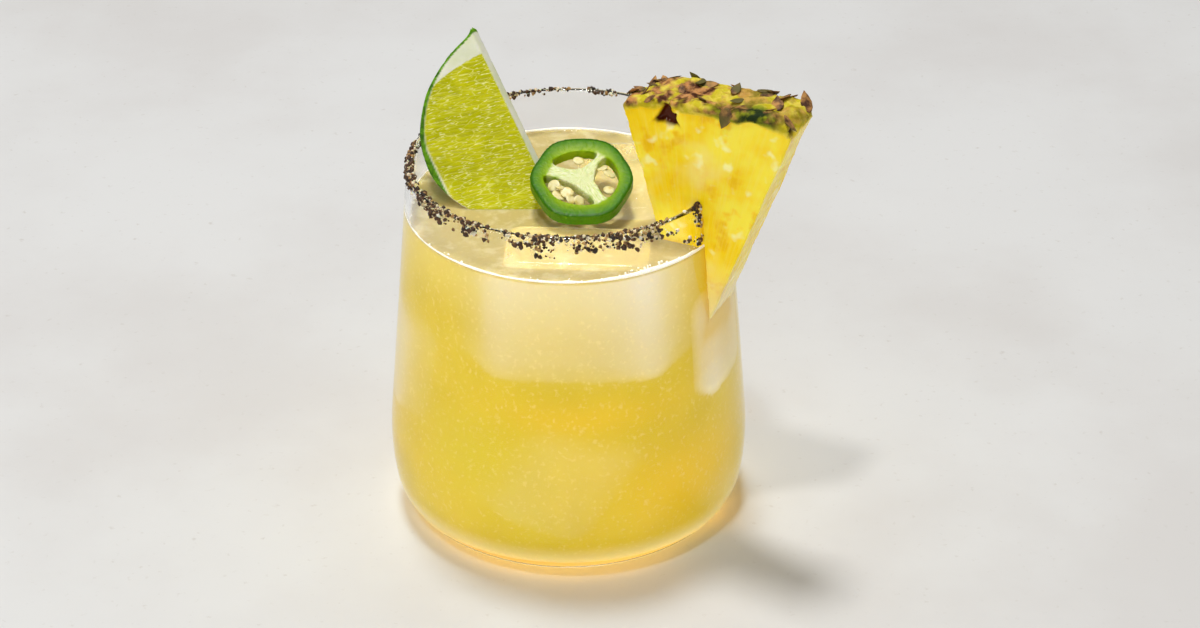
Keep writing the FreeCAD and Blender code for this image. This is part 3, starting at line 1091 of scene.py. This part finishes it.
seed_spots = ((-162, 0.56, -0.6), (-150, 0.48, -0.2), (-138, 0.60, -0.9), (-128, 0.46, -0.4),
              (-112, 0.55, -0.9), (-96, 0.52, -1.3), (32, 0.47, -0.4), (16, 0.55, -0.8), (-24, 0.56, -1.5), (96, 0.56, -1.6))
places = [(s * slice_r * math.cos(math.radians(a)), s * slice_r * math.sin(math.radians(a)), d * MM)
          for a, s, d in seed_spots]
seed_dots = mesh_from("seed_spots", (np.array(places) + slice_origin) @ slice_axes.T, [])
seed_mesh = grown("pepper_seeds", seed_dots, seed_tree(), {
    "Seed shape": template("seed", seed_shape), "Width": 3.1 * MM, "Random seed": 12, "Finish": seed_white})
seeds = piece("pepper_seeds", seed_mesh, seed_white)
print("seed faces", len(seeds.data.polygons))

# %% [markdown]
# ## The pineapple wedge
# A round slice cut like a cake: juicy fibres run from the core to the rind, and the rind is rows of
# eyes with dried leaf scales over them. The skin is grown from the CAD wedge and measured from the
# slice's centre. The eyes are swellings set along the arc, and the far end of the rind stands proud.

# %% Pineapple mesh: relief and stored numbers
eyes = ((-17, -5.5, 8), (-9.5, 4.5, 8.5), (-2, -6, 8), (6, 4, 9), (14, -5.5, 8.5), (21, 4, 7))


def eye_relief(arc, across):
    """Height of the rind above its valleys: rounded eyes with grooves between."""
    height = np.zeros_like(arc)
    for middle, side, width in eyes:
        span = np.hypot((arc / MM - middle) / width, (across / MM - side) / (width * 0.95))
        height = np.maximum(height, np.sqrt(np.maximum(1 - span**2, 0)))
    return height


pine_mesh = skin_of("pineapple_wedge", 0.42 * MM, "pineapple_wedge", smoothing=1)
spots = points_of(pine_mesh)
x, across, z, out, angle = pine_measure(spots)
arc = angle * pine_r
rind_depth = pine_r - out
relief = eye_relief(arc, across)
rough = noise(spots, 2.2 * MM, 51, octaves=3)
rind = smooth(2.4 * MM, 1.2 * MM, rind_depth + 0.9 * MM * noise(spots, 3 * MM, 52))
crust = smooth(1.5 * MM, 0.5 * MM, rind_depth + 0.4 * MM * noise(spots, 2 * MM, 53))
fibre = np.stack([angle * 80, out / (12 * MM), across / (1.5 * MM)], -1)
strands = noise(fibre, 1.0, 54, octaves=3)
pit_x, pit_z = -8.3 * MM, 63.4 * MM
pit_warp = 0.8 * MM * noise(spots, 1.5 * MM, 57)
pit_side, pit_up = np.abs(x - pit_x + pit_warp), z - pit_z + pit_warp
pit_span = np.maximum(0.87 * pit_side + 0.5 * pit_up, -pit_up) / (1.8 * MM)
pit = smooth(1.5, 0.6, pit_span) * smooth(-4 * MM, -6 * MM, across)
soft_lumps = noise(spots, 5 * MM, 56)
lift = rind * (1.9 * relief - 1.1 + 0.9 * rough)
lift = lift + (1 - rind) * (0.10 * strands + 0.15 * rough + 0.30 * soft_lumps) - 2.4 * pit
ring_r = np.hypot(spots[:, 0], spots[:, 1])
from_rim = np.abs(spots[:, 2] - rim_z) / MM + np.abs(ring_r - rim_r) / MM
lift = lift * smooth(0, 0.8, from_rim)
from_wall = np.abs(ring_r - wall_radius(wall / 2, spots[:, 2]))
lift = np.where(spots[:, 2] < rim_z + 1 * MM, lift * smooth(0.2 * MM, 1.2 * MM, from_wall), lift)
outward = pine_out * np.sin(angle)[:, None] + np.array([0, 0, 1]) * np.cos(angle)[:, None]
proud = 3.0 * smooth(5, 19, arc / MM) * smooth(7, 1.5, rind_depth / MM)
move_points(pine_mesh, spots + (normals_of(pine_mesh) * lift[:, None] + outward * proud[:, None]) * MM)
front_edge = smooth(-1 * MM, -5.5 * MM, across)
store(pine_mesh, "rind", rind)
store(pine_mesh, "crust", crust * (1 - 0.45 * smooth(0, 12, arc / MM)))
store(pine_mesh, "relief", relief)
store(pine_mesh, "green", np.exp(-(((arc / MM - 11) / 9) ** 2)) * (0.35 + 0.65 * front_edge))
store(pine_mesh, "pit", pit)
store(pine_mesh, "fibre", fibre)
store(pine_mesh, "ripe", np.clip(out / pine_r, 0, 1))
store(pine_mesh, "cover", smooth(0.9 * MM, 0.3 * MM, rind_depth) * (0.35 + 0.65 * smooth(0.1, 0.7, relief)))
proudest = round(float((lift + proud).max()), 1)
print("pineapple points", len(spots), "rind stands proud by up to", proudest, "mm")

# %% Pineapple material
# The flesh's faint emission is a painted glow; the rind and the pit are left without it.
pine_skin, n, shader = new_material("pineapple", (0.35, (1.0, 0.75, 0.2), 0.003), IOR=1.4,
                                    Specular_IOR_Level=0.25, Emission_Strength=0.16)
spot = n.place()
strand_at = n.attribute("fibre", vector=True)
rind_at, crust_at, relief_at = n.attribute("rind"), n.attribute("crust"), n.attribute("relief")
pit_at, ripe_at = n.attribute("pit"), n.attribute("ripe")
strand = n.noise(1.0, strand_at, detail=4.0)
fine = n.noise(520.0, spot, detail=3.0)
flesh_tone = mottle(n, spot, 85.0, 0.36, 0.62, rgb(250, 228, 66), rgb(242, 206, 8))["Colour"]
deep = mask(n, spot, 150.0, 0.54, 0.70)
flesh_tone = n.blend(n.math("MULTIPLY", deep, 0.9), flesh_tone, rgb(232, 184, 0))
flesh_tone = n.blend(n.ramp(strand, 0.42, 0.72, 0.0, 0.16), flesh_tone, rgb(252, 234, 128))
milky = mask(n, spot, 60.0, 0.54, 0.70, detail=2.0)
flesh_tone = n.blend(n.math("MULTIPLY", milky, 0.6), flesh_tone, rgb(246, 226, 130))
# Painted highlight: small pale glints on the flesh.
painted_wet_glint = mask(n, spot, 200.0, 0.58, 0.72, detail=2.0)
flesh_tone = n.blend(n.math("MULTIPLY", painted_wet_glint, 0.6), flesh_tone, rgb(255, 248, 186))
flesh_tone = n.blend(n.ramp(ripe_at, 0.46, 0.16), flesh_tone, rgb(234, 216, 148))
skin_tone = mottle(n, spot, 520.0, 0.4, 0.65, rgb(196, 180, 26), rgb(222, 202, 76))["Colour"]
leaf_green = mottle(n, spot, 260.0, 0.38, 0.58, rgb(26, 44, 6), rgb(132, 140, 14))
skin_tone = n.blend(n.ramp(n.attribute("green"), 0.25, 0.60), skin_tone, leaf_green["Colour"])
bark = mottle(n, spot, 330.0, 0.40, 0.62, rgb(72, 36, 16), rgb(200, 142, 84), detail=5.0)["Colour"]
bark_at = mask(n, spot, 150.0, 0.42, 0.54)
skin_tone = n.blend(n.math("MULTIPLY", crust_at, bark_at), skin_tone, bark)
skin_tone = n.blend(n.ramp(relief_at, 0.25, 0.02), skin_tone, rgb(70, 50, 18))
tone = n.blend(rind_at, flesh_tone, skin_tone)
in_pit = n.ramp(pit_at, 0.10, 0.70)
tone = n.blend(in_pit, tone, rgb(84, 30, 10))
height = n.math("ADD", n.math("MULTIPLY", strand, 0.3), n.math("MULTIPLY", fine, 0.35))
no_glow = n.math("MAXIMUM", rind_at, in_pit)
feed(n, shader, Base_Color=tone, Emission_Color=n.blend(no_glow, flesh_tone, BLACK),
     Normal=n.bump(height, 0.45, 0.0006), Roughness=n.ramp(rind_at, 0.0, 1.0, 0.22, 0.68))
pineapple = piece("pineapple_wedge", pine_mesh, pine_skin)
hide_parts("pineapple_wedge")
print("pineapple faces", len(pine_mesh.polygons))

# %% [markdown]
# Each eye of the rind carries a dry, papery scale with a torn point. Geometry Nodes strew one leaf
# shape over the rind, laid along the surface, each with its own lean, turn and length.


# %% Dry scales on the rind
def leaf_shape(work):
    """A thin pointed scale along X, curled up at its tip."""
    bmesh.ops.create_uvsphere(work, u_segments=12, v_segments=6, radius=0.5)
    for vert in work.verts:
        along = vert.co.x + 0.5
        vert.co.y *= 0.9 * (1 - along) ** 0.7 * (0.6 + along)
        vert.co.z = vert.co.z * 0.08 + 0.24 * along**2


def scale_tree():
    tree, n, given = new_group(
        "dry_scales",
        (("Surface", "Geometry"), ("Leaf", "Object"), ("Per square metre", "Float"), ("Shortest", "Float"),
         ("Longest", "Float"), ("Seed", "Int"), ("Finish", "Material")),
        (("Scales", "Geometry"),), "GeometryNodeTree")
    strewn = strewn_over(n, given)
    lean = random_vector(n, (-0.35, -0.3, 0.0), (0.35, 0.15, 6.28), given["Seed"])
    laid = n.add("FunctionNodeRotateRotation", {"Rotation": strewn["Rotation"], "Rotate By": lean},
                 rotation_space="LOCAL").outputs[0]
    length = random_number(n, given["Shortest"], given["Longest"], n.math("ADD", given["Seed"], 5))
    set_copies(n, given, "Leaf", strewn["Points"], laid, length, "Scales")
    return tree


dry_leaf, n, shader = new_material("dry_scale", Roughness=0.7)
spot = n.place()
husk = mottle(n, spot, 420.0, 0.36, 0.64, rgb(70, 38, 16), rgb(190, 138, 74), detail=4.0)["Colour"]
feed(n, shader, Base_Color=n.blend(mask(n, spot, 110.0, 0.50, 0.62),
                                   husk, rgb(92, 84, 26)),
     Normal=n.bump(n.noise(900.0, spot), 0.4, 0.0003))
scale_mesh = grown("rind_scales", pine_mesh.copy(), scale_tree(), {
    "Leaf": template("leaf", leaf_shape), "Per square metre": 0.055 / MM**2, "Shortest": 2.6 * MM,
    "Longest": 5.6 * MM, "Seed": 8, "Finish": dry_leaf})
scales = piece("rind_scales", scale_mesh, dry_leaf)
print("scale faces", len(scales.data.polygons))

# %% [markdown]
# ## The salt rim
# Flaky salt with cracked pepper clings to the outside of the rim where it was wetted: thick clumps at
# the front, a thin line at the back, a few strays down the wall and beside the pineapple's slit. A
# strip that hugs the rim carries the cover, and the scatter tree runs over it once for each kind of
# grain: dark pepper, brown husk, pale crystals and fine dust.


# %% The strip that carries the salt
def salt_strip(steps=720, rows=30):
    """Outside of the rim, its top, and a hair of the inside, with the cover stored on it."""
    drop = [(float(wall_radius(0, z)), z) for z in np.linspace(rim_z - 11 * MM, rim_z - wall, rows)]
    crown = arc_points(rim_c, wall / 2, taper, taper + 1.05 * math.pi, 9)
    lane = drop + crown
    around = np.linspace(0, 2 * math.pi, steps, endpoint=False)
    points = np.array([[r * math.cos(a), r * math.sin(a), z] for a in around for r, z in lane])
    width = len(lane)
    starts = [(i * width, (i + 1) % steps * width) for i in range(steps)]
    faces = [(a + k, b + k, b + k + 1, a + k + 1) for a, b in starts for k in range(width - 1)]
    mesh = mesh_from("salt_strip", points, faces)
    angle = np.degrees(np.arctan2(points[:, 1], points[:, 0]))
    below = (rim_z - points[:, 2]) / MM
    reach = 2.6 + 1.3 * noise(points, 5 * MM, 61)
    for middle, spread, more in ((-85, 32, 0.9), (-99, 3.5, 2.0), (-66, 14, 0.5), (90, 60, -1.6)):
        reach = reach + more * bell(angle, middle, spread)
    clumps = 0.36 + 1.15 * noise(points, 2.4 * MM, 62)
    for middle, spread, more in ((-66, 13, 0.6), (-99, 3.5, 0.7), (-85, 30, 0.25), (170, 30, 0.15),
                                 (-92, 1.6, -1.3), (-118, 6, -0.35), (-50, 6, -0.5)):
        clumps = clumps + more * bell(angle, middle, spread)
    cover = np.clip(clumps, 0, 1.5) * smooth(reach + 0.5, reach - 0.8, below)
    patchy = smooth(-0.2, 0.3, noise(points, 2.2 * MM, 63))
    slit = 1.6 * bell(angle, -37.6, 2.0) * patchy * smooth(10.5, 9, below)
    stray = 1.2 * bell(angle, -43, 1.8) * bell(below * 10, 72, 9)
    cover = np.maximum(cover, np.maximum(slit, stray))
    x, across, *_ = pine_measure(points)
    off_fruit = smooth(pine_half - 0.2 * MM, pine_half + 0.4 * MM, np.abs(across))
    cover = cover * off_fruit + cover * (x < -rim_r)
    store(mesh, "cover", np.clip(cover, 0, 1.6))
    return mesh


strip = salt_strip()
print("strip points", len(strip.vertices))

# %% Salt and pepper grains
def grain_finish(name, scale, first, second, **constants):
    material, n, shader = new_material(name, **constants)
    tone = mottle(n, n.place(), scale, 0.35, 0.66, first, second, detail=2.0)["Colour"]
    feed(n, shader, Base_Color=tone)
    return material


pepper_dark = grain_finish("cracked_pepper", 650.0, rgb(34, 20, 10), rgb(92, 60, 32), Roughness=0.6)
husk_brown = grain_finish("pepper_husk", 600.0, rgb(120, 82, 42), rgb(196, 156, 96), Roughness=0.6)
salt_pale = grain_finish("salt_crystal", 420.0, rgb(250, 242, 222), rgb(224, 198, 150), Roughness=0.35,
                         Subsurface_Weight=0.3, Subsurface_Scale=0.001)
dark_grain = template("dark_grain", chipped(1, 0.75, 71))
pale_grain = template("pale_grain", chipped(1, 0.55, 72))
grains = (
    strew("pepper_grains", strip, dark_grain, 1.25, (0.55, 1.65), 21, pepper_dark),
    strew("husk_grains", strip, dark_grain, 0.6, (0.5, 1.3), 24, husk_brown),
    strew("salt_grains", strip, pale_grain, 0.75, (0.5, 1.3), 22, salt_pale),
    strew("salt_dust", strip, pale_grain, 2.0, (0.2, 0.45), 23, salt_pale),
)
